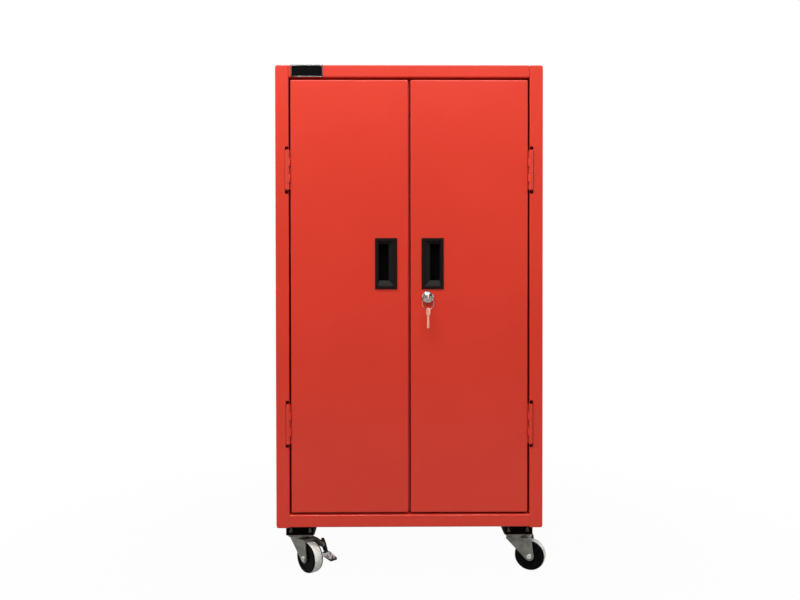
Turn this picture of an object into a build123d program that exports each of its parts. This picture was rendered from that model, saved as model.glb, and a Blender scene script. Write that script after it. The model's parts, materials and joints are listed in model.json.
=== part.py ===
from build123d import *
import os

# Two-door tool cabinet on casters, in millimetres. The front faces -Y, +X is right, the floor is Z 0.

# Body
body_width = 560
body_depth = 400
body_height = 970
sheet = 1.2
fold = 2.5
corner_round = 5
stile = 28
rail = 26
sill = 28
sill_rise = 2
flange = 24
stop_flange = 50

# Doors
door_depth = 20
side_gap = 4
meeting_gap = 5
edge_gap = 5
door_lip = 15
stiffener_width = 40
stiffener_depth = 14
stiffener_foot = 12
stiffener_inset = 30

# Hinges
hinge_length = 85
hinge_shares = (0.226, 0.774)
knuckle_count = 5
knuckle_diameter = 8
hinge_pin_diameter = 4
pin_head_diameter = 6
pin_head_height = 1.5
pin_proud = 1.5
leaf_sheet = 1.5
leaf_reach = 20
web_thickness = 2.3
notch_clearance = 1
notch_end = 6.5

# Fits between pieces
running_clearance = 0.05
part_clearance = 0.3
slide_clearance = 0.5

# Flush pulls
handle_width = 46.5
handle_height = 106.5
handle_proud = 3.5
handle_depth = 16
handle_bevel = 2
handle_rim = 4
handle_step = 6
handle_throat = 6
handle_wall = 2
handle_centre = 48.6
handle_share = 0.573
pocket_width = 20
pocket_height = 76
pocket_side = 8.4
pocket_lift = 2.8

# Lock
lock_centre = 38.3
lock_gap = 4.5
lock_face_diameter = 25
lock_proud = 6
lock_body_diameter = 19
lock_bevel = 2
lock_rim = 2.5
lock_recess = 1
lock_nut_width = 26
lock_nut_height = 4
plug_diameter = 13
cam_width = 16
cam_length = 50
cam_sheet = 2
cam_square = 8
cam_screw_diameter = 9
cam_screw_height = 2.5

# Keys
key_sheet = 2
bow_diameter = 18
bow_hole_diameter = 5
bow_hole_offset = 4.5
blade_width = 7
blade_length = 22
key_neck = 2
key_cut = 1.6
key_cut_shares = (0.3, 0.55, 0.8)
ring_diameter = 24
ring_wire_diameter = 1.2
wire_drop = 1.2
spare_key_turn = 20

# Slide bolts of the left door
bolt_width = 12
bolt_sheet = 3
bolt_length = 110
bolt_setback = 12
bolt_standoff = 4.5
bolt_edge = 4
guide_width = 20
guide_depth = 9.5
guide_height = 16
guide_spacing = 60
knob_diameter = 8
knob_length = 10

# Shelves and posts
post_width = 30
post_sheet = 1.5
post_share = 0.675
slot_pitch = 45
slot_width = 6
slot_height = 14
slot_start_share = 0.5
shelf_slots = (4, 9, 14)
shelf_height = 25
shelf_gap = 2
shelf_setback = 12
shelf_lip = 10
shelf_radius = 3
clip_width = 16
clip_sheet = 1.5
clip_length = 20
clip_rise = 18
hook_height = 6
hook_drop = 3

# Door stops
stop_gap = 2
stop_sheet = 1.5
stop_drop = 14
stop_foot = 20
stop_inset = 32
buffer_diameter = 8
buffer_height = 1.5
buffer_shares = (0.3, 0.8)

# Plate on the rail and rivets on the back
plate_width = 67
plate_height = 25.5
plate_thickness = 0.8
plate_inset = 5
rivet_diameter = 7
rivet_height = 1.4
rivet_round = 0.9
side_rivets = 7
end_rivets = 4

# Casters
caster_height = 83
bracket_height = 20
bracket_width = 58
bracket_depth = 70
bracket_sheet = 2
caster_inset = 47
caster_setback = 53
caster_plate = 60
caster_plate_thickness = 2.5
caster_plate_radius = 6
bolt_spacing = 42
screw_diameter = 6
screw_hole_diameter = 6.4
screw_head_diameter = 11
screw_head_height = 4
screw_reach = 9
screw_nut_height = 5
cup_diameter = 44
cup_height = 4
race_diameter = 40
race_bore_diameter = 24
race_height = 5
race_round = 1.2
king_diameter = 10
king_head_diameter = 16
king_head_height = 2.5
fork_sheet = 2.5
fork_gap = 29
fork_back = 20
fork_front = 35
fork_corner = 6
trail = 30
wheel_diameter = 65
core_diameter = 52
core_width = 25
flange_diameter = 62
flange_round = 2
hub_diameter = 18
hub_width = 27
dish_depth = 1.5
dish_diameter = 46
tread_width = 18
tread_round = 2
axle_diameter = 8
axle_head_diameter = 11
axle_head_height = 3
axle_head_round = 2
axle_boss_diameter = 19
front_left_angle = -48
front_right_angle = -18
rear_left_angle = 162
rear_right_angle = 113

# Brake levers beside the right fork leg, laid out from the axle along the trail and up
brake_pivot_ahead = 24
brake_pivot_rise = 29.5
brake_pin_diameter = 5
brake_ear_diameter = 12
brake_boss_diameter = 14
lever_sheet = 3
tab_back = 3
tab_rise = 8
tab_diameter = 9
neck_ahead = 11
neck_drop = 20
neck_diameter = 11
pedal_length = 25
pedal_drop = 7
pedal_thickness = 5
pedal_width = 16
pedal_overhang = 6
shoe_gap = 2.8
shoe_thickness = 5
shoe_height = 9
shoe_rise = 8.5
shoe_width = 14

# Places worked out from the sizes
front = -body_depth / 2
back = body_depth / 2
edge = body_width / 2
jamb = edge - stile
bottom = caster_height + bracket_height
top = bottom + body_height
rail_under = top - rail
sill_under = bottom + sill_rise
sill_top = bottom + sill
deck_top = sill_top + sheet
door_bottom = sill_top + edge_gap
door_top = rail_under - edge_gap
door_back = front + door_depth
door_outer = jamb - side_gap
door_inner = meeting_gap / 2
stop_front = door_back + stop_gap
window_bottom = deck_top + flange
window_top = rail_under - flange
hinge_x = jamb + knuckle_diameter / 2 - leaf_sheet
hinge_y = front - pin_proud
hinge_heights = [bottom + share * body_height for share in hinge_shares]
handle_z = bottom + handle_share * body_height
lock_z = handle_z - handle_height / 2 - lock_gap - lock_face_diameter / 2
lock_face = front - lock_proud
plug_end = door_back + slide_clearance
caster_x = edge - caster_inset
caster_y = back - caster_setback

os.makedirs("parts", exist_ok=True)


def slab(x0, x1, y0, y1, z0, z1):
    middle = Pos((x0 + x1) / 2, (y0 + y1) / 2, (z0 + z1) / 2)
    return middle * Box(x1 - x0, y1 - y0, z1 - z0)


def rounded(limits, radius):
    block = slab(*limits)
    return fillet(block.edges(), radius)


def inset(limits, step):
    x0, x1, y0, y1, z0, z1 = limits
    return (x0 + step, x1 - step, y0 + step, y1 - step, z0 + step, z1 - step)


def folded_shell(limits, radius):
    return rounded(limits, radius) - rounded(inset(limits, sheet), radius - sheet)


def rod(diameter, start, end):
    # A round bar from one point to another
    line = Vector(*end) - Vector(*start)
    return Plane(origin=start, z_dir=line) * Cylinder(
        diameter / 2, line.length, align=(Align.CENTER, Align.CENTER, Align.MIN)
    )


def hexagon(width, x, y, z0, z1):
    face = Pos(x, y, z0) * RegularPolygon(width / 2, 6)
    return extrude(face, z1 - z0)


def facing(x, y, z):
    # An upright plane that looks towards the back
    return Plane(origin=(x, y, z), z_dir=(0, 1, 0), x_dir=(1, 0, 0))


def flipped(shape):
    return mirror(shape, Plane.YZ)


def save(name, *shapes):
    shape = shapes[0] if len(shapes) == 1 else Compound(list(shapes))
    export_step(shape, "parts/" + name + ".step")


# Side panels, made for the right and mirrored, with wider rounds at the outer corners
def cornered(limits, radius, corner):
    block = slab(*limits)
    block = fillet(block.edges().filter_by(Axis.Y).group_by(Axis.X)[-1], corner)
    rims = block.faces().filter_by(Axis.Y).edges()
    inner = block.edges().filter_by(Axis.Y).group_by(Axis.X)[0]
    return fillet(rims + inner, radius)


def side_panel():
    limits = (jamb, edge, front, back, bottom, top)
    corner = slab(jamb, jamb + 2 * fold, front, front + 2 * fold, sill_under + fold, sill_top - fold)
    panel = cornered(limits, fold, corner_round) + corner
    panel -= cornered(inset(limits, sheet), fold - sheet, corner_round - sheet)
    panel -= slab(jamb - sheet, jamb + fold, front + flange, back - flange, window_bottom, window_top)
    reach = knuckle_diameter / 2 + notch_clearance
    for height in hinge_heights:
        panel -= slab(
            jamb - sheet,
            hinge_x + reach,
            front - sheet,
            hinge_y + reach,
            height - hinge_length / 2 - notch_end,
            height + hinge_length / 2 + notch_end,
        )
    return panel


right_panel = side_panel()
save("right_side_panel", right_panel)
save("left_side_panel", flipped(right_panel))

# Top panel, open underneath behind its flanges
top_limits = (-jamb, jamb, front, back, rail_under, top)
top_window = slab(
    flange - jamb, jamb - flange, front + stop_flange, back - flange, rail_under - sheet, rail_under + fold
)
save("top_panel", folded_shell(top_limits, fold) - top_window)

# Bottom panel with the sill, square at its ends where it is welded flush to the stiles
bottom_limits = (-jamb, jamb, front, back, sill_under, sill_top)
bottom_block = slab(*bottom_limits)
bottom_block = fillet(bottom_block.edges().filter_by(Axis.X), fold)
bottom_space = slab(*inset(bottom_limits, sheet))
bottom_space = fillet(bottom_space.edges().filter_by(Axis.X), fold - sheet)
bottom_window = slab(
    flange - jamb, jamb - flange, front + stop_flange, back - flange, sill_top - fold, sill_top + sheet
)
save("bottom_panel", bottom_block - bottom_space - bottom_window)

# Floor deck over the bottom panel
save("floor_panel", slab(sheet - jamb, jamb - sheet, front + 2 * fold, back - 2 * fold, sill_top, deck_top))

# Back panel on the rear stiles, with rivets
panel_edge = edge - 2 * fold
panel_low = bottom + 2 * fold
panel_high = top - 2 * fold
save("back_panel", slab(-panel_edge, panel_edge, back, back + sheet, panel_low, panel_high))


def rivet(x, z):
    head = rod(rivet_diameter, (x, back + sheet, z), (x, back + sheet + rivet_height, z))
    return fillet(head.edges().group_by(Axis.Y)[-1], rivet_round)


def spread(low, high, count):
    return [low + (high - low) * step / (count - 1) for step in range(count)]


rivet_x = edge - stile / 2
rivet_low = bottom + sill / 2
rivet_high = top - rail / 2
rivet_places = [(side * rivet_x, z) for side in (-1, 1) for z in spread(rivet_low, rivet_high, side_rivets)]
rivet_row = spread(-rivet_x, rivet_x, end_rivets)[1:-1]
rivet_places += [(x, z) for z in (rivet_low, rivet_high) for x in rivet_row]
save("back_rivets", *[rivet(x, z) for x, z in rivet_places])

# Slotted posts inside the side panels
post_low = window_bottom + shelf_gap
post_high = window_top - shelf_gap
post_y = post_share * back
slot_count = int((post_high - post_low) / slot_pitch)
slot_heights = [post_low + slot_pitch * (step + slot_start_share) for step in range(slot_count)]


def post(y):
    y0 = y - post_width / 2
    y1 = y + post_width / 2
    channel = slab(jamb, edge - sheet, y0, y1, post_low, post_high)
    channel -= slab(jamb + post_sheet, edge, y0 + post_sheet, y1 - post_sheet, post_low, post_high)
    slots = [
        slab(jamb - sheet, jamb + fold, y - slot_width / 2, y + slot_width / 2, z, z + slot_height)
        for z in slot_heights
    ]
    return channel - slots


posts = [post(side * post_y) for side in (-1, 1)]
save("shelf_posts", *posts, *[flipped(piece) for piece in posts])

# Shelves as pans turned down at their edges, held by hooked clips
shelf_front = door_back + shelf_setback
shelf_back = back - flange - shelf_gap
shelf_edge = jamb - shelf_gap
hook_lift = (slot_height - hook_height) / 2


def shelf(under):
    limits = (-shelf_edge, shelf_edge, shelf_front, shelf_back, under, under + shelf_height)
    opening = slab(
        shelf_lip - shelf_edge,
        shelf_edge - shelf_lip,
        shelf_front + shelf_lip,
        shelf_back - shelf_lip,
        under - sheet,
        under + shelf_radius,
    )
    return folded_shell(limits, shelf_radius) - opening


def shelf_clip(y, under):
    y0 = y - clip_width / 2
    y1 = y + clip_width / 2
    h0 = y - slot_width / 2 + part_clearance
    h1 = y + slot_width / 2 - part_clearance
    low = under + hook_lift
    tail = jamb + post_sheet + part_clearance
    clip = slab(jamb - clip_sheet, jamb, y0, y1, under - clip_sheet, under + clip_rise)
    clip += slab(jamb - clip_length, jamb, y0, y1, under - clip_sheet, under)
    clip += slab(jamb - clip_sheet, tail + clip_sheet, h0, h1, low, low + hook_height)
    clip += slab(tail, tail + clip_sheet, h0, h1, low - hook_drop, low + hook_height)
    return clip


shelf_unders = [slot_heights[slot] for slot in shelf_slots]
for name, under in zip(("lower_shelf", "middle_shelf", "upper_shelf"), shelf_unders):
    save(name, shelf(under))
clips = [shelf_clip(side * post_y, under) for side in (-1, 1) for under in shelf_unders]
save("shelf_clips", *clips, *[flipped(clip) for clip in clips])

# Door stop angles above and below, with rubber buffers
stop_edge = jamb - stop_inset


def stop_angle(base, tip, foot):
    leg = slab(-stop_edge, stop_edge, stop_front, stop_front + stop_sheet, min(base, tip), max(base, tip))
    return leg + slab(
        -stop_edge, stop_edge, stop_front, stop_front + stop_foot, min(base, foot), max(base, foot)
    )


def buffer(x, z):
    return rod(buffer_diameter, (x, stop_front - buffer_height, z), (x, stop_front, z))


upper_tip = rail_under - stop_drop
lower_tip = deck_top + edge_gap + stop_drop
save(
    "door_stops",
    stop_angle(rail_under, upper_tip, rail_under - stop_sheet),
    stop_angle(deck_top, lower_tip, deck_top + stop_sheet),
)
buffer_heights = ((upper_tip + door_top) / 2, (lower_tip + door_bottom) / 2)
buffers = [buffer(share * stop_edge, z) for share in buffer_shares for z in buffer_heights]
save("door_buffers", *buffers, *[flipped(piece) for piece in buffers])

# Blank plate on the rail
plate_x = plate_inset - jamb
plate_z = rail_under + (rail - plate_height) / 2
plate_face = front - plate_thickness
blank_plate = slab(plate_x, plate_x + plate_width, plate_face, front, plate_z, plate_z + plate_height)
save("nameplate", fillet(blank_plate.edges().filter_by(Axis.Y), plate_thickness))

# Hinges, made for the right and mirrored
knuckle_stack = hinge_length - 2 * pin_head_height
knuckle_pitch = (knuckle_stack + part_clearance) / knuckle_count


def knuckle_span(centre, index):
    low = centre - knuckle_stack / 2 + index * knuckle_pitch
    return low, low + knuckle_pitch - part_clearance


def knuckle(low, high):
    return rod(knuckle_diameter, (hinge_x, hinge_y, low), (hinge_x, hinge_y, high))


def pin_hole(centre):
    width = hinge_pin_diameter + 2 * running_clearance
    half = hinge_length / 2
    return rod(width, (hinge_x, hinge_y, centre - half), (hinge_x, hinge_y, centre + half))


def frame_leaf(centre):
    half = knuckle_stack / 2
    back_edge = hinge_y + leaf_reach + leaf_sheet
    leaf = slab(jamb - leaf_sheet, jamb, hinge_y, back_edge, centre - half, centre + half)
    for index in range(1, knuckle_count, 2):
        low, high = knuckle_span(centre, index)
        leaf -= slab(
            jamb - 2 * leaf_sheet,
            jamb + leaf_sheet,
            hinge_y - knuckle_diameter,
            hinge_y + knuckle_diameter / 2 + slide_clearance,
            low - part_clearance,
            high + part_clearance,
        )
    for index in range(0, knuckle_count, 2):
        leaf += knuckle(*knuckle_span(centre, index))
    return leaf - pin_hole(centre)


def door_leaf(centre):
    half = knuckle_stack / 2
    web_front = hinge_y - leaf_sheet
    leaf = slab(
        door_outer,
        door_outer + leaf_sheet,
        front,
        door_back - fold,
        centre - half,
        centre + half,
    )
    for index in range(1, knuckle_count, 2):
        low, high = knuckle_span(centre, index)
        leaf += slab(door_outer, hinge_x, web_front, web_front + web_thickness, low, high)
        leaf += slab(door_outer, door_outer + leaf_sheet, web_front, front, low, high)
        leaf += knuckle(low, high)
    return leaf - pin_hole(centre)


def hinge_pin(centre):
    half = knuckle_stack / 2
    pin = rod(hinge_pin_diameter, (hinge_x, hinge_y, centre - half), (hinge_x, hinge_y, centre + half))
    for side in (-1, 1):
        start = centre + side * half
        end = start + side * pin_head_height
        pin += rod(pin_head_diameter, (hinge_x, hinge_y, start), (hinge_x, hinge_y, end))
    return pin


frame_leaves = [frame_leaf(height) for height in hinge_heights]
door_leaves = [door_leaf(height) for height in hinge_heights]
hinge_pins = [hinge_pin(height) for height in hinge_heights]
save("hinge_frame_leaves", *frame_leaves, *[flipped(leaf) for leaf in frame_leaves])
save("hinge_pins", *hinge_pins, *[flipped(pin) for pin in hinge_pins])
save("right_hinge_leaves", *door_leaves)
save("left_hinge_leaves", *[flipped(leaf) for leaf in door_leaves])

# Doors as folded pans with a cut-out for the pull
handle_body_width = handle_width - 2 * handle_rim
handle_body_height = handle_height - 2 * handle_rim


def door_panel():
    limits = (door_inner, door_outer, front, door_back, door_bottom, door_top)
    panel = folded_shell(limits, fold)
    panel -= slab(
        door_inner + door_lip,
        door_outer - door_lip,
        door_back - fold,
        door_back + sheet,
        door_bottom + door_lip,
        door_top - door_lip,
    )
    half_width = handle_body_width / 2 + slide_clearance
    half_height = handle_body_height / 2 + slide_clearance
    panel -= slab(
        handle_centre - half_width,
        handle_centre + half_width,
        front - sheet,
        front + fold,
        handle_z - half_height,
        handle_z + half_height,
    )
    return panel


def door_stiffener():
    middle = (door_inner + door_outer) / 2
    half = stiffener_width / 2
    y0 = front + sheet
    y1 = y0 + stiffener_depth
    z0 = door_bottom + stiffener_inset
    z1 = door_top - stiffener_inset
    hat = slab(middle - half, middle + half, y0, y1, z0, z1)
    hat -= slab(middle - half + sheet, middle + half - sheet, y0, y1 - sheet, z0, z1)
    for side in (-1, 1):
        foot = sorted((middle + side * half, middle + side * (half + stiffener_foot)))
        hat += slab(*foot, y0, y0 + sheet, z0, z1)
    return hat


plain_door = door_panel()
lock_hole = rod(
    lock_body_diameter + 2 * part_clearance,
    (lock_centre, front - sheet, lock_z),
    (lock_centre, front + fold, lock_z),
)
save("right_door_panel", plain_door - lock_hole)
save("left_door_panel", flipped(plain_door))
stiffener = door_stiffener()
save("right_door_stiffener", stiffener)
save("left_door_stiffener", flipped(stiffener))


# Flush pulls: a bevelled rim, sloping throat faces and a deep pocket on the hinge side
def flush_pull():
    half_width = handle_width / 2
    half_height = handle_height / 2
    face = front - handle_proud
    rim = slab(
        handle_centre - half_width,
        handle_centre + half_width,
        face,
        front,
        handle_z - half_height,
        handle_z + half_height,
    )
    rim = chamfer(rim.edges().group_by(Axis.Y)[0], handle_bevel)
    body = slab(
        handle_centre - handle_body_width / 2,
        handle_centre + handle_body_width / 2,
        front,
        front + handle_depth,
        handle_z - handle_body_height / 2,
        handle_z + handle_body_height / 2,
    )
    pocket_right = handle_centre + half_width - pocket_side
    pocket_x = pocket_right - pocket_width / 2
    pocket_z = handle_z + pocket_lift
    mouth_width = handle_width - 2 * handle_step
    mouth_height = handle_height - 2 * handle_step
    mouth = facing(handle_centre, face, handle_z) * Rectangle(mouth_width, mouth_height)
    throat = facing(pocket_x, face + handle_throat, pocket_z) * Rectangle(pocket_width, pocket_height)
    pull = rim + body
    pull -= loft([mouth, throat])
    pull -= slab(
        pocket_right - pocket_width,
        pocket_right,
        face + handle_throat,
        front + handle_depth - handle_wall,
        pocket_z - pocket_height / 2,
        pocket_z + pocket_height / 2,
    )
    return pull


pull = flush_pull()
save("right_handle", pull)
save("left_handle", flipped(pull))


# Cam lock in the right door
def lock_axis(diameter, y0, y1):
    return rod(diameter, (lock_centre, y0, lock_z), (lock_centre, y1, lock_z))


housing = lock_axis(lock_face_diameter, lock_face, front)
housing = fillet(housing.edges().group_by(Axis.Y)[0], lock_bevel)
housing += lock_axis(lock_body_diameter, front, door_back)
housing -= lock_axis(lock_face_diameter - 2 * lock_rim, lock_face, lock_face + lock_recess)
housing -= lock_axis(plug_diameter + 2 * running_clearance, lock_face, door_back)
save("lock_housing", housing)

nut_face = facing(lock_centre, front + sheet, lock_z) * RegularPolygon(lock_nut_width / 2, 6)
lock_nut = extrude(nut_face, lock_nut_height)
lock_nut -= lock_axis(lock_body_diameter + 2 * running_clearance, front, door_back)
save("lock_nut", lock_nut)

slot_half = key_sheet / 2 + part_clearance
slot_rise = blade_width / 2 + part_clearance
blade_end = lock_face + blade_length
cam_back = plug_end + cam_sheet
plug = lock_axis(plug_diameter, lock_face, plug_end)
plug += slab(
    lock_centre - cam_square / 2,
    lock_centre + cam_square / 2,
    plug_end,
    cam_back,
    lock_z - cam_square / 2,
    lock_z + cam_square / 2,
)
plug -= slab(
    lock_centre - slot_half,
    lock_centre + slot_half,
    lock_face,
    blade_end + slide_clearance,
    lock_z - slot_rise,
    lock_z + slot_rise,
)
save("lock_plug", plug)

cam_end = lock_z - cam_length + cam_width / 2
cam = lock_axis(cam_width, plug_end, cam_back)
cam += slab(
    lock_centre - cam_width / 2, lock_centre + cam_width / 2, plug_end, cam_back, cam_end, lock_z
)
cam += rod(cam_width, (lock_centre, plug_end, cam_end), (lock_centre, cam_back, cam_end))
cam -= slab(
    lock_centre - cam_square / 2,
    lock_centre + cam_square / 2,
    plug_end,
    cam_back,
    lock_z - cam_square / 2,
    lock_z + cam_square / 2,
)
save("lock_cam", cam)

cam_screw = lock_axis(cam_screw_diameter, cam_back, cam_back + cam_screw_height)
save("cam_screw", fillet(cam_screw.edges().group_by(Axis.Y)[-1], cam_screw_height / 3))


# A flat key, its hole at Z 0 and its blade hanging down, thickness along X
def flat_key():
    bow_z = -bow_hole_offset
    half = key_sheet / 2
    shoulder = bow_z - bow_diameter / 2
    tip = shoulder - key_neck - blade_length
    blank = rod(bow_diameter, (-half, 0, bow_z), (half, 0, bow_z))
    blank += slab(-half, half, -blade_width / 2, blade_width / 2, tip, bow_z)
    blank -= rod(bow_hole_diameter, (-half, 0, 0), (half, 0, 0))
    for share in key_cut_shares:
        z = tip + share * blade_length
        y0 = -blade_width / 2
        blank -= slab(-half, half, y0, y0 + key_cut, z - key_cut / 2, z + key_cut / 2)
    return blank


key_blank = flat_key()
key_reach = bow_hole_offset + bow_diameter / 2 + key_neck
key_hole_y = lock_face - key_reach
save("key", Pos(lock_centre, key_hole_y, lock_z) * Rot(90, 0, 0) * key_blank)

ring_top = lock_z - wire_drop
ring_low = ring_top - ring_diameter
ring = Torus(ring_diameter / 2, ring_wire_diameter / 2)
save("key_ring", Pos(lock_centre, key_hole_y, ring_top - ring_diameter / 2) * Rot(90, 0, 0) * ring)
spare_key = Rot(0, 0, spare_key_turn) * key_blank
save("spare_key", Pos(lock_centre, key_hole_y, ring_low - wire_drop) * spare_key)

# Slide bolts on the left door, drawn back at rest
bolt_front = door_back + bolt_standoff
bolt_back = bolt_front + bolt_sheet
bolt_x1 = -door_inner - bolt_edge
bolt_x0 = bolt_x1 - bolt_width
bolt_x = (bolt_x0 + bolt_x1) / 2


def slide_bolt(tip, way):
    # way is 1 for the bolt that rises and -1 for the bolt that drops
    tail = tip - way * bolt_length
    bar = slab(bolt_x0, bolt_x1, bolt_front, bolt_back, min(tip, tail), max(tip, tail))
    grip = (tip + tail) / 2
    return bar + rod(knob_diameter, (bolt_x, bolt_back, grip), (bolt_x, bolt_back + knob_length, grip))


def bolt_guide(z):
    half = guide_height / 2
    x0 = bolt_x - guide_width / 2
    x1 = bolt_x + guide_width / 2
    block = slab(x0, x1, door_back, door_back + guide_depth, z - half, z + half)
    return block - slab(
        bolt_x0 - part_clearance,
        bolt_x1 + part_clearance,
        bolt_front - part_clearance,
        bolt_back + part_clearance,
        z - half,
        z + half,
    )


bolt_tips = ((door_top - bolt_setback, 1), (door_bottom + door_lip + stop_gap, -1))
for name, (tip, way) in zip(("upper_bolt", "lower_bolt"), bolt_tips):
    save(name, slide_bolt(tip, way))
guide_heights = [
    tip - way * bolt_length / 2 + step * guide_spacing / 2 for tip, way in bolt_tips for step in (-1, 1)
]
save("bolt_guides", *[bolt_guide(z) for z in guide_heights])

# Caster mountings under the four corners
caster_places = [(x * caster_x, y * caster_y) for y in (-1, 1) for x in (-1, 1)]
plate_under = caster_height - caster_plate_thickness
cup_under = plate_under - cup_height
crown_top = cup_under - race_height
crown_under = crown_top - fork_sheet
bolt_offsets = [(x * bolt_spacing / 2, y * bolt_spacing / 2) for x in (-1, 1) for y in (-1, 1)]


def upright(diameter, z0, z1, x=0, y=0):
    return rod(diameter, (x, y, z0), (x, y, z1))


bracket = slab(
    -bracket_width / 2, bracket_width / 2, -bracket_depth / 2, bracket_depth / 2, caster_height, sill_under
)
bracket -= slab(
    bracket_sheet - bracket_width / 2,
    bracket_width / 2 - bracket_sheet,
    -bracket_depth / 2,
    bracket_depth / 2,
    caster_height + bracket_sheet,
    sill_under - bracket_sheet,
)
top_plate = slab(
    -caster_plate / 2, caster_plate / 2, -caster_plate / 2, caster_plate / 2, plate_under, caster_height
)
top_plate = fillet(top_plate.edges().filter_by(Axis.Z), caster_plate_radius)
top_plate += upright(cup_diameter, cup_under, plate_under)
screws = []
for x, y in bolt_offsets:
    hole = upright(screw_hole_diameter, plate_under, caster_height + bracket_sheet, x, y)
    bracket -= hole
    top_plate -= hole
    web_top = caster_height + bracket_sheet
    screw = hexagon(screw_head_diameter, x, y, plate_under - screw_head_height, plate_under)
    screw += upright(screw_diameter, plate_under, web_top + screw_reach, x, y)
    nut = hexagon(screw_head_diameter, x, y, web_top, web_top + screw_nut_height)
    nut -= upright(screw_diameter + 2 * running_clearance, web_top, web_top + screw_nut_height, x, y)
    screws += [screw, nut]

race = upright(race_diameter, crown_top + part_clearance, cup_under)
race -= upright(race_bore_diameter, crown_top, cup_under)
race = fillet(race.edges().group_by(Axis.Z)[0], race_round)
king_head_top = crown_under - part_clearance
king = upright(king_diameter, king_head_top, cup_under)
king += upright(king_head_diameter, king_head_top - king_head_height, king_head_top)


def at_corners(shape):
    return [Pos(x, y, 0) * shape for x, y in caster_places]


# The brackets step down where they pass under the side panels
brackets = at_corners(bracket)
for side in (-1, 1):
    step = sorted((side * jamb, side * edge))
    under_sides = slab(*step, front, back, bottom, sill_under)
    brackets = [piece - under_sides for piece in brackets]
save("caster_brackets", *brackets)
save("caster_plates", *at_corners(top_plate))
save("caster_bolts", *[piece for screw in screws for piece in at_corners(screw)])
save("swivel_races", *at_corners(race))
save("king_rivets", *at_corners(king))

# Forks, wheels and brakes, the trail along +X before turning
axle_z = wheel_diameter / 2
leg_inner = fork_gap / 2
leg_outer = leg_inner + fork_sheet
lever_inner = leg_outer + part_clearance
lever_outer = lever_inner + lever_sheet
pivot_reach = trail + brake_pivot_ahead
pivot_height = axle_z + brake_pivot_rise


def across(diameter, half, reach, height):
    return rod(diameter, (reach, -half, height), (reach, half, height))


def hull_plate(circles, thickness, outer):
    # A plate whose outline wraps circles given as reach, height and diameter
    rims = [(Pos(reach, height) * Circle(diameter / 2)).edge() for reach, height, diameter in circles]
    return Pos(0, outer, 0) * extrude(Plane.XZ * make_hull(rims), thickness)


def brake_pin(diameter):
    return rod(diameter, (pivot_reach, leg_inner, pivot_height), (pivot_reach, lever_outer, pivot_height))


def fork(braked):
    crown_mid = crown_top - fork_corner / 2
    corners = [(-fork_back + fork_corner / 2, crown_mid, fork_corner)]
    corners += [(fork_front - fork_corner / 2, crown_mid, fork_corner)]
    leg = corners + [(trail, axle_z, axle_boss_diameter)]
    frame = slab(corners[0][0], corners[1][0], -leg_outer, leg_outer, crown_under, crown_top)
    frame += hull_plate(leg, fork_sheet, -leg_inner)
    frame += hull_plate(leg, fork_sheet, leg_outer)
    if braked:
        ear = (pivot_reach, pivot_height, brake_ear_diameter)
        root = (trail, pivot_height, brake_ear_diameter)
        frame += hull_plate([corners[1], ear, root], fork_sheet, leg_outer)
        frame -= brake_pin(brake_pin_diameter + 2 * running_clearance)
    frame -= upright(king_diameter + 2 * part_clearance, crown_under, crown_top)
    return frame - across(axle_diameter, leg_outer, trail, axle_z)


axle = across(axle_diameter, leg_outer, trail, axle_z)
for side in (-1, 1):
    start = side * leg_outer
    dome = rod(axle_head_diameter, (trail, start, axle_z), (trail, start + side * axle_head_height, axle_z))
    rim_edges = dome.edges().sort_by(lambda rim: side * rim.center().Y)
    axle += fillet(rim_edges[-1], axle_head_round)

core = across(core_diameter, core_width / 2, trail, axle_z)
for side in (-1, 1):
    face = side * core_width / 2
    floor = side * (core_width / 2 - dish_depth)
    disc = rod(flange_diameter, (trail, side * tread_width / 2, axle_z), (trail, face, axle_z))
    rim_edges = disc.edges().sort_by(lambda rim: side * rim.center().Y)
    core += fillet(rim_edges[-1], flange_round)
    core -= rod(dish_diameter, (trail, floor, axle_z), (trail, face, axle_z))
core += across(hub_diameter, hub_width / 2, trail, axle_z)
core -= across(axle_diameter + 2 * running_clearance, hub_width / 2, trail, axle_z)

tread = across(wheel_diameter, tread_width / 2, trail, axle_z)
tread = fillet(tread.edges(), tread_round)
tread -= across(core_diameter, tread_width / 2, trail, axle_z)


def brake_lever():
    boss = (pivot_reach, pivot_height, brake_boss_diameter)
    tab = (pivot_reach - tab_back, pivot_height + tab_rise, tab_diameter)
    neck = (pivot_reach + neck_ahead, pivot_height - neck_drop, neck_diameter)
    lever = hull_plate([tab, boss, neck], lever_sheet, lever_outer)
    heel = pivot_reach + neck_ahead
    crest = pivot_height - neck_drop + neck_diameter / 2
    sole = crest - pedal_thickness
    outline = Polyline(
        (heel, crest),
        (heel + pedal_length, crest - pedal_drop),
        (heel + pedal_length, sole - pedal_drop),
        (heel, sole - pedal_drop / 2),
        close=True,
    )
    pedal = extrude(Plane.XZ * make_face(outline), pedal_width)
    lever += Pos(0, lever_outer + pedal_overhang, 0) * pedal
    shoe_reach = trail + wheel_diameter / 2 + shoe_gap
    shoe_low = axle_z + shoe_rise
    lever += slab(
        shoe_reach,
        shoe_reach + shoe_thickness,
        lever_outer - shoe_width,
        lever_outer,
        shoe_low,
        shoe_low + shoe_height,
    )
    return lever + brake_pin(brake_pin_diameter)


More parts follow.
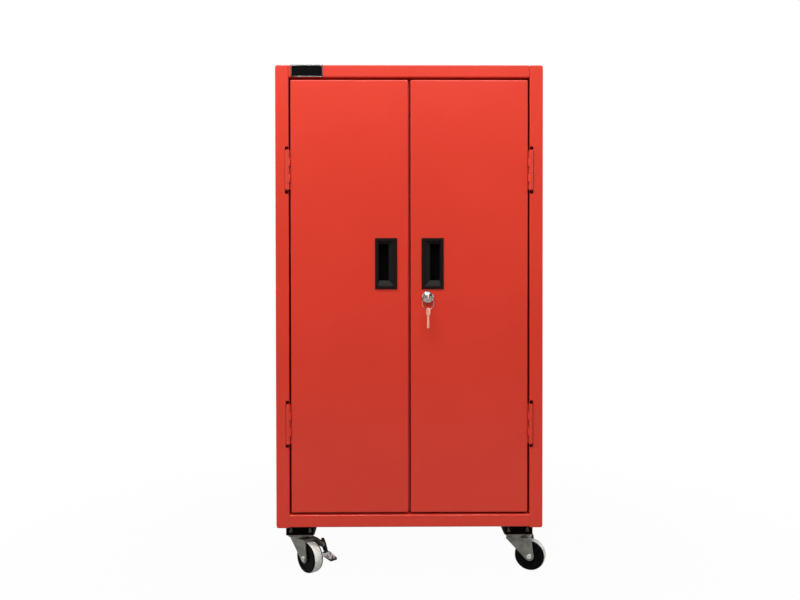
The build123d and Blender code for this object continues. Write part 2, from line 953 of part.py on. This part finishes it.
turns = {
    "front_left": (front_left_angle, -1, -1, True),
    "front_right": (front_right_angle, 1, -1, False),
    "rear_left": (rear_left_angle, -1, 1, False),
    "rear_right": (rear_right_angle, 1, 1, True),
}
forks = {braked: fork(braked) for braked in (True, False)}
lever = brake_lever()
for corner, (angle, side_x, side_y, braked) in turns.items():
    place = Pos(side_x * caster_x, side_y * caster_y, 0) * Rot(0, 0, angle)
    save(corner + "_fork", place * forks[braked])
    save(corner + "_axle", place * axle)
    save(corner + "_wheel", place * core)
    save(corner + "_tyre", place * tread)
    if braked:
        save(corner + "_brake", place * lever)
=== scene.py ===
import json
import math

import bpy
import numpy as np
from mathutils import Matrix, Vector


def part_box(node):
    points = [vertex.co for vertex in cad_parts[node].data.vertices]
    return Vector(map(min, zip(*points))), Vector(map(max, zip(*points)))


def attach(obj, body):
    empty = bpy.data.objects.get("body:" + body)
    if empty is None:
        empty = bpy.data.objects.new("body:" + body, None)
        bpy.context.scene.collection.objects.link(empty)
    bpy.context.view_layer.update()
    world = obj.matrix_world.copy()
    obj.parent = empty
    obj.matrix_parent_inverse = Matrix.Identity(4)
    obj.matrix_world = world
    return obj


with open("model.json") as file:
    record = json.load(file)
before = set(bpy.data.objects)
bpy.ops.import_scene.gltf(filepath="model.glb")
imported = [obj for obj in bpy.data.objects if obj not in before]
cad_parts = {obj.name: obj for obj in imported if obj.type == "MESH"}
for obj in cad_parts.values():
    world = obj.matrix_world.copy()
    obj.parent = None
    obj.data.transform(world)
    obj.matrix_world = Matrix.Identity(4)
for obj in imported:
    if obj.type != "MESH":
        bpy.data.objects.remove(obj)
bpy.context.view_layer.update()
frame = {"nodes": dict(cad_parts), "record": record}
nodes = frame["nodes"]
print("frame loaded with", len(nodes), "pieces")


class Wire:
    # A socket in a node tree. A sum or product of wires and numbers adds Math nodes.
    def __init__(self, tree, socket=None):
        self.tree = tree
        self.socket = socket

    def node(self, kind, settings=None, sockets=None, out=0):
        made = self.tree.nodes.new("ShaderNode" + kind)
        for key, value in (settings or {}).items():
            setattr(made, key, value)
        for key, value in (sockets or {}).items():
            if isinstance(value, Wire):
                self.tree.links.new(value.socket, made.inputs[key])
            else:
                made.inputs[key].default_value = value
        return Wire(self.tree, made.outputs[out] if made.outputs else None)

    def __add__(self, other):
        return self.node("Math", {"operation": "ADD"}, {0: self, 1: other})

    def __radd__(self, other):
        return self.node("Math", {"operation": "ADD"}, {0: other, 1: self})

    def __sub__(self, other):
        return self.node("Math", {"operation": "SUBTRACT"}, {0: self, 1: other})

    def __rsub__(self, other):
        return self.node("Math", {"operation": "SUBTRACT"}, {0: other, 1: self})

    def __mul__(self, other):
        return self.node("Math", {"operation": "MULTIPLY"}, {0: self, 1: other})

    def __rmul__(self, other):
        return self.node("Math", {"operation": "MULTIPLY"}, {0: other, 1: self})

    def __truediv__(self, other):
        return self.node("Math", {"operation": "DIVIDE"}, {0: self, 1: other})

    def __rtruediv__(self, other):
        return self.node("Math", {"operation": "DIVIDE"}, {0: other, 1: self})


# Shared by all finishes. Sizes, depths and heights are in metres.
pattern = {
    "grain": 1.0,            # layers of noise, from a plain grain to crumbly dust
    "brushed": 2.0,
    "patches": 3.0,
    "wear": 4.0,
    "dust": 5.0,
    "middle": 0.5,           # the mean of a noise from 0 to 1
    "edgeRadius": 0.0005,    # edges that look rounded
    "edgeSamples": 4,
}


def startFinish(name):
    material = bpy.data.materials.new(name)
    material.use_nodes = True
    material.node_tree.nodes.clear()
    start = Wire(material.node_tree)
    return material, start, start.node("TexCoord", out="Object")


def closeFinish(start, sockets):
    surface = start.node("BsdfPrincipled", None, sockets)
    start.node("OutputMaterial", None, {"Surface": surface})


def cloud(coords, size, kind):  # soft noise from 0 to 1
    sockets = {"Vector": coords, "Scale": 1 / size, "Detail": pattern[kind]}
    return coords.node("TexNoise", None, sockets)


def swing(noise):  # the same noise, to both sides of 0
    return noise - pattern["middle"]


def stretched(coords, scale):  # coordinates squeezed along an axis, for brushed or drawn marks
    return coords.node("Mapping", None, {"Vector": coords, "Scale": scale})


def ease(value, low, high):  # 0 below low, 1 above high, smooth between
    sockets = {"Value": value, "From Min": low, "From Max": high}
    return value.node("MapRange", {"interpolation_type": "SMOOTHSTEP"}, sockets)


def tint(factor, first, second):  # from the first colour to the second
    return factor.node("Mix", {"data_type": "RGBA"}, {0: factor, 6: first, 7: second}, out=2)


def relief(height, depth, edge=pattern["edgeRadius"]):  # bump, over edges that look rounded
    rounded = height.node("Bevel", {"samples": pattern["edgeSamples"]}, {"Radius": edge})
    sockets = {"Strength": 1.0, "Distance": depth, "Height": height, "Normal": rounded}
    return height.node("Bump", None, sockets)


# Red powder coat: faint cloudiness, orange peel and rounded folds under a thin gloss coat
redCoat = {
    "colour": (0.712, 0.0405, 0.0182, 1.0),
    "deepColour": (0.682, 0.0370, 0.0162, 1.0),
    "cloudSize": 0.30,
    "cloudEdge": (0.35, 0.65),
    "peelSize": 0.0024,
    "peelDepth": 0.00004,
    "foldRadius": 0.0012,
    "roughness": 0.34,
    "roughnessSpread": 0.06,
    "specular": 0.22,
    "coat": 0.5,
    "coatRoughness": 0.12,
}


def redFinish():
    v = redCoat
    material, start, coords = startFinish("redPowderCoat")
    patches = cloud(coords, v["cloudSize"], "patches")
    peel = cloud(coords, v["peelSize"], "grain")
    closeFinish(start, {
        "Base Color": tint(ease(patches, *v["cloudEdge"]), v["deepColour"], v["colour"]),
        "Roughness": v["roughness"] + v["roughnessSpread"] * swing(patches),
        "Normal": relief(peel, v["peelDepth"], v["foldRadius"]),
        "Specular IOR Level": v["specular"],
        "Coat Weight": v["coat"],
        "Coat Roughness": v["coatRoughness"],
    })
    return material


# Caster brackets: their red paint is painted near black as painted shade, with a little dark red
# showing in patches
shadedBracketPaint = {
    "colour": (0.006, 0.0020, 0.0020, 1.0),
    "redColour": (0.028, 0.0036, 0.0034, 1.0),
    "redPatchSize": 0.018,
    "redPatchEdge": (0.42, 0.68),
    "grainSize": 0.0016,
    "grainDepth": 0.00004,
    "roughness": 0.80,
    "roughnessSpread": 0.12,
    "specular": 0.05,
}


def shadedBracketFinish():
    v = shadedBracketPaint
    material, start, coords = startFinish("shadedBracketPaint")
    # Painted shade: the bracket's colour is near black all over, dark red in random patches
    redPatches = ease(cloud(coords, v["redPatchSize"], "wear"), *v["redPatchEdge"])
    grain = cloud(coords, v["grainSize"], "grain")
    closeFinish(start, {
        "Base Color": tint(redPatches, v["colour"], v["redColour"]),
        "Roughness": v["roughness"] + v["roughnessSpread"] * swing(redPatches),
        "Normal": relief(grain, v["grainDepth"]),
        "Specular IOR Level": v["specular"],
    })
    return material


# Zinc plating: small spangles, a warm passivation tint in patches, drawn marks in the roughness
zincPlate = {
    "colour": (0.300, 0.300, 0.272, 1.0),
    "warmColour": (0.215, 0.210, 0.180, 1.0),
    "patchSize": 0.014,
    "patchEdge": (0.38, 0.64),
    "spangleSize": 0.0016,
    "spangleDepth": 0.00002,
    "drawnSize": 0.0012,
    "drawnStretch": (1.0, 1.0, 0.08),
    "roughness": 0.42,
    "roughnessSpread": 0.18,
    "patchShare": 0.6,       # of the roughness that varies
    "drawnShare": 0.4,
    "metallic": 0.75,
}

# Axle rivets: the same plating, rubbed bright
axlePlate = dict(
    zincPlate,
    colour=(0.80, 0.80, 0.77, 1.0),
    warmColour=(0.60, 0.59, 0.54, 1.0),
    roughness=0.30,
)


def zincFinish(name, v):
    material, start, coords = startFinish(name)
    patches = cloud(coords, v["patchSize"], "patches")
    spangleScale = 1 / v["spangleSize"]
    spangles = start.node("TexVoronoi", None, {"Vector": coords, "Scale": spangleScale})
    drawn = cloud(stretched(coords, v["drawnStretch"]), v["drawnSize"], "brushed")
    mixed = v["patchShare"] * patches + v["drawnShare"] * drawn
    closeFinish(start, {
        "Base Color": tint(ease(patches, *v["patchEdge"]), v["colour"], v["warmColour"]),
        "Roughness": v["roughness"] + v["roughnessSpread"] * swing(mixed),
        "Metallic": v["metallic"],
        "Normal": relief(spangles, v["spangleDepth"]),
    })
    return material


# Brake levers: blackened steel, with a painted highlight on top of the pedal, broken up by
# patches of wear noise
brakePlate = {
    "colour": (0.012, 0.012, 0.012, 1.0),
    "warmColour": (0.030, 0.028, 0.026, 1.0),
    "brightColour": (0.62, 0.62, 0.62, 1.0),
    "patchSize": 0.010,
    "patchEdge": (0.40, 0.64),
    "patchDepth": 0.00002,
    "wearSize": 0.005,
    "wearEdge": (0.30, 0.52),
    "pedalEdge": (0.0385, 0.0425),   # heights between which the pedal gets its painted highlight
    "neckEdge": (0.0480, 0.0500),    # and where the lever above it turns black again
    "roughness": 0.36,
    "roughnessSpread": 0.20,
    "highlightAndWearPolish": 0.08,              # off the roughness under the painted highlight and wear
    "metallic": 0.70,
    "highlightAndWearDull": 0.40,                # off the metallic under the painted highlight and wear
}


def brakeFinish():
    v = brakePlate
    material, start, coords = startFinish("blackenedSteel")
    patches = cloud(coords, v["patchSize"], "patches")
    height = start.node("SeparateXYZ", None, {0: coords}, out="Z")
    # Painted highlight: a band at the top of the pedal is painted bright, as if lit from above,
    # in patches of wear noise
    pedal = ease(height, *v["pedalEdge"]) * (1 - ease(height, *v["neckEdge"]))
    pedalHighlightAndWear = pedal * ease(cloud(coords, v["wearSize"], "wear"), *v["wearEdge"])
    steel = tint(ease(patches, *v["patchEdge"]), v["colour"], v["warmColour"])
    mottled = v["roughness"] + v["roughnessSpread"] * swing(patches)
    closeFinish(start, {
        "Base Color": tint(pedalHighlightAndWear, steel, v["brightColour"]),
        "Roughness": mottled - v["highlightAndWearPolish"] * pedalHighlightAndWear,
        "Metallic": v["metallic"] - v["highlightAndWearDull"] * pedalHighlightAndWear,
        "Normal": relief(patches, v["patchDepth"]),
    })
    return material


# Chrome of the lock and the ring: turned rings round the lock's axis
chromePlate = {
    "colour": (0.66, 0.65, 0.64, 1.0),
    "dullColour": (0.090, 0.080, 0.074, 1.0),
    "smearSize": 0.006,
    "smearEdge": (0.42, 0.72),
    "turnPitch": 0.0011,
    "domeRadius": 0.018,     # the lock's face is turned to a low dome
    "domeDepth": 0.0045,
    "roughness": 0.10,
    "turnRoughness": 0.05,
    "smearRoughness": 0.05,
    "metallic": 1.0,
}


def chromeFinish():
    v = chromePlate
    material, start, coords = startFinish("turnedChrome")
    low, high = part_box("lock_plug")
    middle = (low + high) / 2
    axis = (middle.x, 0.0, middle.z)
    offset = coords.node("VectorMath", {"operation": "SUBTRACT"}, {0: coords, 1: axis})
    flat = offset.node("VectorMath", {"operation": "MULTIPLY"}, {0: offset, 1: (1.0, 0.0, 1.0)})
    radius = flat.node("VectorMath", {"operation": "LENGTH"}, {0: flat}, out="Value")
    turns = radius.node("Math", {"operation": "PINGPONG"}, {0: radius / v["turnPitch"], 1: 1.0})
    smears = cloud(coords, v["smearSize"], "patches")
    marks = v["turnRoughness"] * turns + v["smearRoughness"] * smears
    dome = 1 - ease(radius, 0.0, v["domeRadius"])
    closeFinish(start, {
        "Base Color": tint(ease(smears, *v["smearEdge"]), v["colour"], v["dullColour"]),
        "Roughness": v["roughness"] + marks,
        "Metallic": v["metallic"],
        "Normal": relief(dome, v["domeDepth"]),
    })
    return material


# Nickelled brass of the keys, rubbed pale, worn to the brass in places
keyMetal = {
    "colour": (1.00, 0.66, 0.48, 1.0),
    "wornColour": (0.85, 0.40, 0.20, 1.0),
    "wearSize": 0.006,
    "wearEdge": (0.48, 0.66),
    "brushSize": 0.0008,
    "brushStretch": (1.0, 0.06, 1.0),
    "brushDepth": 0.00001,
    "roughness": 0.30,
    "roughnessSpread": 0.18,
    "metallic": 0.15,
}


def keyFinish():
    v = keyMetal
    material, start, coords = startFinish("nickelledBrass")
    wear = ease(cloud(coords, v["wearSize"], "wear"), *v["wearEdge"])
    brushed = cloud(stretched(coords, v["brushStretch"]), v["brushSize"], "grain")
    closeFinish(start, {
        "Base Color": tint(wear, v["colour"], v["wornColour"]),
        "Roughness": v["roughness"] + v["roughnessSpread"] * swing(brushed),
        "Metallic": v["metallic"],
        "Normal": relief(brushed, v["brushDepth"]),
    })
    return material


# Moulded black plastic of the wheels, with a fine spark-eroded grain
blackPlastic = {
    "colour": (0.0022, 0.0021, 0.0021, 1.0),
    "paleColour": (0.0060, 0.0057, 0.0055, 1.0),
    "patchSize": 0.012,
    "patchEdge": (0.40, 0.70),
    "grainSize": 0.0007,
    "grainDepth": 0.00003,
    "roughness": 0.36,
    "roughnessSpread": 0.16,
    "specular": 0.05,
}


def plasticFinish():
    v = blackPlastic
    material, start, coords = startFinish("mouldedBlackPlastic")
    patches = cloud(coords, v["patchSize"], "patches")
    moulded = cloud(coords, v["grainSize"], "grain")
    closeFinish(start, {
        "Base Color": tint(ease(patches, *v["patchEdge"]), v["colour"], v["paleColour"]),
        "Roughness": v["roughness"] + v["roughnessSpread"] * swing(patches),
        "Normal": relief(moulded, v["grainDepth"]),
        "Specular IOR Level": v["specular"],
    })
    return material


# Flush pulls: the same plastic, painted greyer on the sloping sides as a painted sheen, and
# painted black in the pocket as painted shade, where it is also matt
pullPlastic = {
    "rimColour": (0.0120, 0.0075, 0.0068, 1.0),
    "slopeSheenColour": (0.0130, 0.0126, 0.0120, 1.0),
    "pocketShadeColour": (0.0006, 0.0005, 0.0005, 1.0),
    "slopeEdge": (0.0012, 0.0024),   # depths below the front of the rim
    "pocketEdge": (0.0060, 0.0100),
    "sheenPatchSize": 0.009,
    "sheenPatchLevel": 0.7,
    "sheenPatchSpread": 0.6,
    "grainSize": 0.0006,
    "grainDepth": 0.00003,
    "roughness": 0.42,
    "pocketRoughness": 0.5,          # added in the pocket
    "sheenPatchRoughness": 0.1,             # added with the sheen patches
    "specular": 0.06,
}


def pullFinish():
    v = pullPlastic
    material, start, coords = startFinish("pullPlastic")
    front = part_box("left_handle")[0].y
    depth = start.node("SeparateXYZ", None, {0: coords}, out="Y") - front
    # Painted sheen on the sloping sides and painted shade in the pocket, both set by the depth
    # below the rim
    slopeSheen = ease(depth, *v["slopeEdge"])
    pocketShade = ease(depth, *v["pocketEdge"])
    moulded = cloud(coords, v["grainSize"], "grain")
    sheenPatches = v["sheenPatchLevel"] + v["sheenPatchSpread"] * swing(cloud(coords, v["sheenPatchSize"], "patches"))
    rim = tint(slopeSheen * sheenPatches, v["rimColour"], v["slopeSheenColour"])
    matt = v["roughness"] + v["pocketRoughness"] * pocketShade
    closeFinish(start, {
        "Base Color": tint(pocketShade, rim, v["pocketShadeColour"]),
        "Roughness": matt + v["sheenPatchRoughness"] * (sheenPatches - v["sheenPatchLevel"]),
        "Normal": relief(moulded, v["grainDepth"]),
        "Specular IOR Level": v["specular"],
    })
    return material


# Pale soft tread, dusty where it rolls
paleTread = {
    "colour": (0.86, 0.855, 0.80, 1.0),
    "dustColour": (0.26, 0.25, 0.22, 1.0),
    "dustSize": 0.007,
    "dustEdge": (0.48, 0.72),
    "dustCover": 0.55,
    "poreSize": 0.0009,
    "poreDepth": 0.00004,
    "roughness": 0.62,
    "dustRoughness": 0.2,    # added where dusty
}


def treadFinish():
    v = paleTread
    material, start, coords = startFinish("paleTread")
    dust = ease(cloud(coords, v["dustSize"], "dust"), *v["dustEdge"])
    pores = cloud(coords, v["poreSize"], "grain")
    closeFinish(start, {
        "Base Color": tint(v["dustCover"] * dust, v["colour"], v["dustColour"]),
        "Roughness": v["roughness"] + v["dustRoughness"] * dust,
        "Normal": relief(pores, v["poreDepth"]),
    })
    return material


# Black rubber of the door buffers, with a dull bloom
rubber = {
    "colour": (0.020, 0.020, 0.020, 1.0),
    "bloomColour": (0.060, 0.058, 0.055, 1.0),
    "bloomSize": 0.003,
    "bloomEdge": (0.45, 0.75),
    "grainSize": 0.0006,
    "grainDepth": 0.00003,
    "roughness": 0.72,
    "bloomRoughness": 0.15,  # added under the bloom
}


def rubberFinish():
    v = rubber
    material, start, coords = startFinish("blackRubber")
    bloom = ease(cloud(coords, v["bloomSize"], "wear"), *v["bloomEdge"])
    grain = cloud(coords, v["grainSize"], "grain")
    closeFinish(start, {
        "Base Color": tint(bloom, v["colour"], v["bloomColour"]),
        "Roughness": v["roughness"] + v["bloomRoughness"] * bloom,
        "Normal": relief(grain, v["grainDepth"]),
    })
    return material


# The blank plate: black anodised field, brushed along its length, in a fine raised bead
blankPlate = {
    "colour": (0.0018, 0.0018, 0.0019, 1.0),
    "paleColour": (0.0060, 0.0060, 0.0063, 1.0),
    "brushSize": 0.0005,
    "brushStretch": (0.04, 1.0, 1.0),
    "brushEdge": (0.40, 0.70),
    "brushDepth": 0.00001,
    "roughness": 0.34,
    "roughnessSpread": 0.16,
    "specular": 0.03,
    "beadInset": 0.0012,     # from the plate's edge to the middle of the bead
    "beadWidth": 0.0009,
    "beadHeight": 0.0004,
    "cornerRadius": 0.0016,
    "cornerPoints": 9,
    "profilePoints": 9,
}


def plateFinish():
    v = blankPlate
    material, start, coords = startFinish("blackAnodised")
    brushed = cloud(stretched(coords, v["brushStretch"]), v["brushSize"], "brushed")
    closeFinish(start, {
        "Base Color": tint(ease(brushed, *v["brushEdge"]), v["colour"], v["paleColour"]),
        "Roughness": v["roughness"] + v["roughnessSpread"] * swing(brushed),
        "Normal": relief(brushed, v["brushDepth"]),
        "Specular IOR Level": v["specular"],
    })
    return material


slotFinish = {
    "red_paint": redFinish(),
    "dark_paint": shadedBracketFinish(),
    "zinc_steel": zincFinish("zincPlate", zincPlate),
    "brake_steel": brakeFinish(),
    "chrome_plate": chromeFinish(),
    "key_metal": keyFinish(),
    "black_plastic": plasticFinish(),
    "pale_tread": treadFinish(),
    "black_rubber": rubberFinish(),
}
endFinish = {  # pieces that differ from the rest of their slot, by the end of their name
    "nameplate": plateFinish(),
    "_handle": pullFinish(),
    "_axle": zincFinish("axlePlate", axlePlate),
}
print("finishes made:", len(slotFinish) + len(endFinish))

for part in frame["record"]["subparts"]:
    piece = nodes[part["node"]]
    piece.data.materials.clear()
    piece.data.materials.append(slotFinish[part["material_slot"]])
for pieceName, piece in nodes.items():
    for ending, finish in endFinish.items():
        if pieceName.endswith(ending):
            piece.data.materials[0] = finish
print("finishes given to", len(nodes), "pieces")


def gridPiece(name, points, looped):
    # Rows of points, each row a closed ring. Looped rows join the last to the first,
    # and others end in flat caps.
    rows, columns = points.shape[:2]
    number = np.arange(rows * columns).reshape(rows, columns)
    start = number if looped else number[:-1]
    end = np.roll(number, -1, axis=0) if looped else number[1:]
    ring = [start, np.roll(start, -1, axis=1), np.roll(end, -1, axis=1), end]
    quads = np.stack(ring, axis=-1).reshape(-1, 4).tolist()
    caps = [] if looped else [number[0, ::-1].tolist(), number[-1].tolist()]
    mesh = bpy.data.meshes.new(name)
    mesh.from_pydata(points.reshape(-1, 3).tolist(), [], quads + caps)
    mesh.polygons.foreach_set("use_smooth", np.full(len(mesh.polygons), looped))
    mesh.update()
    piece = bpy.data.objects.new(name, mesh)
    bpy.context.scene.collection.objects.link(piece)
    return piece


def sweptBead(name, centre, halfWidth, halfHeight, v):
    # The path is a rounded rectangle, four quarter circles joined by straight runs:
    # c(s) = corner(s) + r * (cos s, sin s), and its outward normal is (cos s, sin s).
    # The profile is half an ellipse standing on the face:
    # P(s, t) = c(s) + n(s) * w/2 * cos t - y * h * sin t.
    perCorner = v["cornerPoints"]
    quarter = np.linspace(0.0, math.pi / 2, perCorner)
    s = np.concatenate([quarter + k * math.pi / 2 for k in range(4)])
    radius = v["cornerRadius"]
    signX = np.repeat([1.0, -1.0, -1.0, 1.0], perCorner)
    signZ = np.repeat([1.0, 1.0, -1.0, -1.0], perCorner)
    pathX = signX * (halfWidth - radius) + radius * np.cos(s)
    pathZ = signZ * (halfHeight - radius) + radius * np.sin(s)
    t = np.linspace(0.0, math.pi, v["profilePoints"])
    across = np.cos(t) * v["beadWidth"] / 2
    points = np.empty((len(s), len(t), 3))
    points[..., 0] = centre[0] + pathX[:, None] + np.cos(s)[:, None] * across
    points[..., 1] = centre[1] - v["beadHeight"] * np.sin(t)
    points[..., 2] = centre[2] + pathZ[:, None] + np.sin(s)[:, None] * across
    return gridPiece(name, points, looped=True)


plateLow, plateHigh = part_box("nameplate")
plateMiddle = ((plateLow.x + plateHigh.x) / 2, plateLow.y, (plateLow.z + plateHigh.z) / 2)
plateHalf = (plateHigh - plateLow) / 2
bead = sweptBead(
    "plate_bead",
    plateMiddle,
    plateHalf.x - blankPlate["beadInset"],
    plateHalf.z - blankPlate["beadInset"],
    blankPlate,
)
bead.data.materials.append(slotFinish["chrome_plate"])
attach(bead, "cabinet")
print("plate bead:", len(bead.data.polygons), "faces")

# Slim lip on the left door's edge, which shows as dark red in the gap between the doors
meetingLip = {
    "reach": 0.0037,         # across the gap, clear of the right door as it swings
    "depth": 0.0155,         # behind the front of the door
    "thickness": 0.0016,
    "endGap": 0.0030,
    "root": 0.0002,          # let into the door's edge
    "tipPoints": 9,
    "heightPoints": 13,
}


def straightLip(name, v):
    # The profile is a bar with a round tip: (x, y) = (tip - r + r * cos t, middle + r * sin t)
    # for t from -90 to 90 degrees, closed by two root points. It is carried straight up the door.
    low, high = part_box("left_door_panel")
    r = v["thickness"] / 2
    tip = high.x + v["reach"]
    root = high.x - v["root"]
    middle = low.y + v["depth"]
    t = np.linspace(-math.pi / 2, math.pi / 2, v["tipPoints"])
    x = np.concatenate([tip - r + r * np.cos(t), [root, root]])
    y = np.concatenate([middle + r * np.sin(t), [middle + r, middle - r]])
    z = np.linspace(low.z + v["endGap"], high.z - v["endGap"], v["heightPoints"])
    points = np.empty((len(z), len(x), 3))
    points[..., 0] = x
    points[..., 1] = y
    points[..., 2] = z[:, None]
    return gridPiece(name, points, looped=False)


lip = straightLip("meeting_lip", meetingLip)
lip.data.materials.append(slotFinish["red_paint"])
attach(lip, "left_door")
print("meeting lip:", len(lip.data.polygons), "faces")

# Studio: pale floor, white backdrop and soft lamps
studio = {
    "white": (1.0, 1.0, 1.0, 1.0),
    "whiteStrength": 1.0,
    "surround": 0.26,        # strength of the light from all round
    "floorColour": (0.34, 0.34, 0.34, 1.0),
    "floorSize": 14.0,
    "floorLift": 0.97,       # how far the floor goes to white near the cabinet
    "fadeEdge": (0.35, 1.30),
    "floorGloss": 0.25,      # how white the floor is in reflections
    "backdropEdge": (-0.30, 0.50),   # reflections are white from behind the cabinet, dim in front
}


def seenRays(start, share):
    # 1 for rays from the camera, and a share of those off gloss and through glass
    camera = start.node("LightPath", out="Is Camera Ray")
    gloss = start.node("LightPath", out="Is Glossy Ray")
    glass = start.node("LightPath", out="Is Transmission Ray")
    return camera + share * (gloss + glass)


def layFloor(v):
    half = v["floorSize"] / 2
    corners = [(-half, -half, 0.0), (half, -half, 0.0), (half, half, 0.0), (-half, half, 0.0)]
    mesh = bpy.data.meshes.new("floor")
    mesh.from_pydata(corners, [], [(0, 1, 2, 3)])
    floor = bpy.data.objects.new("floor", mesh)
    bpy.context.scene.collection.objects.link(floor)
    material, start, coords = startFinish("paleFloor")
    away = coords.node("VectorMath", {"operation": "LENGTH"}, {0: coords}, out="Value")
    lift = v["floorLift"] + (1 - v["floorLift"]) * ease(away, *v["fadeEdge"])
    matt = start.node("BsdfDiffuse", None, {"Color": v["floorColour"]})
    glowSockets = {"Color": v["white"], "Strength": v["whiteStrength"]}
    glow = start.node("Emission", None, glowSockets)
    seen = seenRays(start, v["floorGloss"])
    surface = start.node("MixShader", None, {0: seen * lift, 1: matt, 2: glow})
    start.node("OutputMaterial", None, {"Surface": surface})
    mesh.materials.append(material)


def lightSurround(v):
    world = bpy.data.worlds.new("surround")
    bpy.context.scene.world = world
    world.use_nodes = True
    world.node_tree.nodes.clear()
    start = Wire(world.node_tree)
    dim = start.node("Background", None, {"Color": v["white"], "Strength": v["surround"]})
    whiteSockets = {"Color": v["white"], "Strength": v["whiteStrength"]}
    white = start.node("Background", None, whiteSockets)
    direction = start.node("TexCoord", out="Generated")
    towardsBack = start.node("SeparateXYZ", None, {0: direction}, out="Y")
    backdrop = ease(towardsBack, *v["backdropEdge"])
    surface = start.node("MixShader", None, {0: seenRays(start, backdrop), 1: dim, 2: white})
    start.node("OutputWorld", None, {"Surface": surface})


lamps = {
    "overheadBox": {
        "place": (-0.3, -1.7, 2.4),
        "aim": (0.0, -0.2, 0.8),
        "size": (2.4, 1.4),
        "power": 42.0,
    },
    "stripBox": {
        "place": (-0.2, -1.0, 2.3),
        "aim": (0.0, -0.2, 0.3),
        "size": (1.8, 0.10),
        "power": 18.0,
    },
    "leftBox": {
        "place": (-2.8, -0.5, 1.5),
        "aim": (0.0, 0.0, 0.5),
        "size": (1.2, 2.0),
        "power": 20.0,
    },
    "rightBox": {
        "place": (2.8, -0.6, 1.5),
        "aim": (0.0, 0.0, 0.5),
        "size": (1.2, 2.0),
        "power": 20.0,
    },
    "backBox": {
        "place": (0.4, 2.8, 1.9),
        "aim": (0.0, 0.2, 0.6),
        "size": (2.0, 1.6),
        "power": 46.0,
    },
}


def hangLamp(name, v):
    data = bpy.data.lights.new(name, "AREA")
    data.shape = "RECTANGLE"
    data.size, data.size_y = v["size"]
    data.energy = v["power"]
    lamp = bpy.data.objects.new(name, data)
    lamp.location = v["place"]
    towards = Vector(v["aim"]) - Vector(v["place"])
    lamp.rotation_euler = towards.to_track_quat("-Z", "Y").to_euler()
    bpy.context.scene.collection.objects.link(lamp)


# The camera looks level at the front, but for these small angles in radians
view = {
    "place": (-0.0325, -1.800, 0.6040),
    "tilt": -0.0134,
    "roll": 0.0012,
    "turn": -0.0080,
    "lens": 34.396,
    "sensor": 36.0,
    "nearest": 0.05,
}


def setCamera(v):
    data = bpy.data.cameras.new("frontView")
    data.lens = v["lens"]
    data.sensor_width = v["sensor"]
    data.clip_start = v["nearest"]
    camera = bpy.data.objects.new("frontView", data)
    camera.location = v["place"]
    camera.rotation_euler = (math.pi / 2 + v["tilt"], v["roll"], v["turn"])
    bpy.context.scene.collection.objects.link(camera)
    bpy.context.scene.camera = camera


layFloor(studio)
lightSurround(studio)
for lampName, lampValues in lamps.items():
    hangLamp(lampName, lampValues)
setCamera(view)
bpy.context.scene.view_settings.view_transform = "Standard"
print("studio lit")
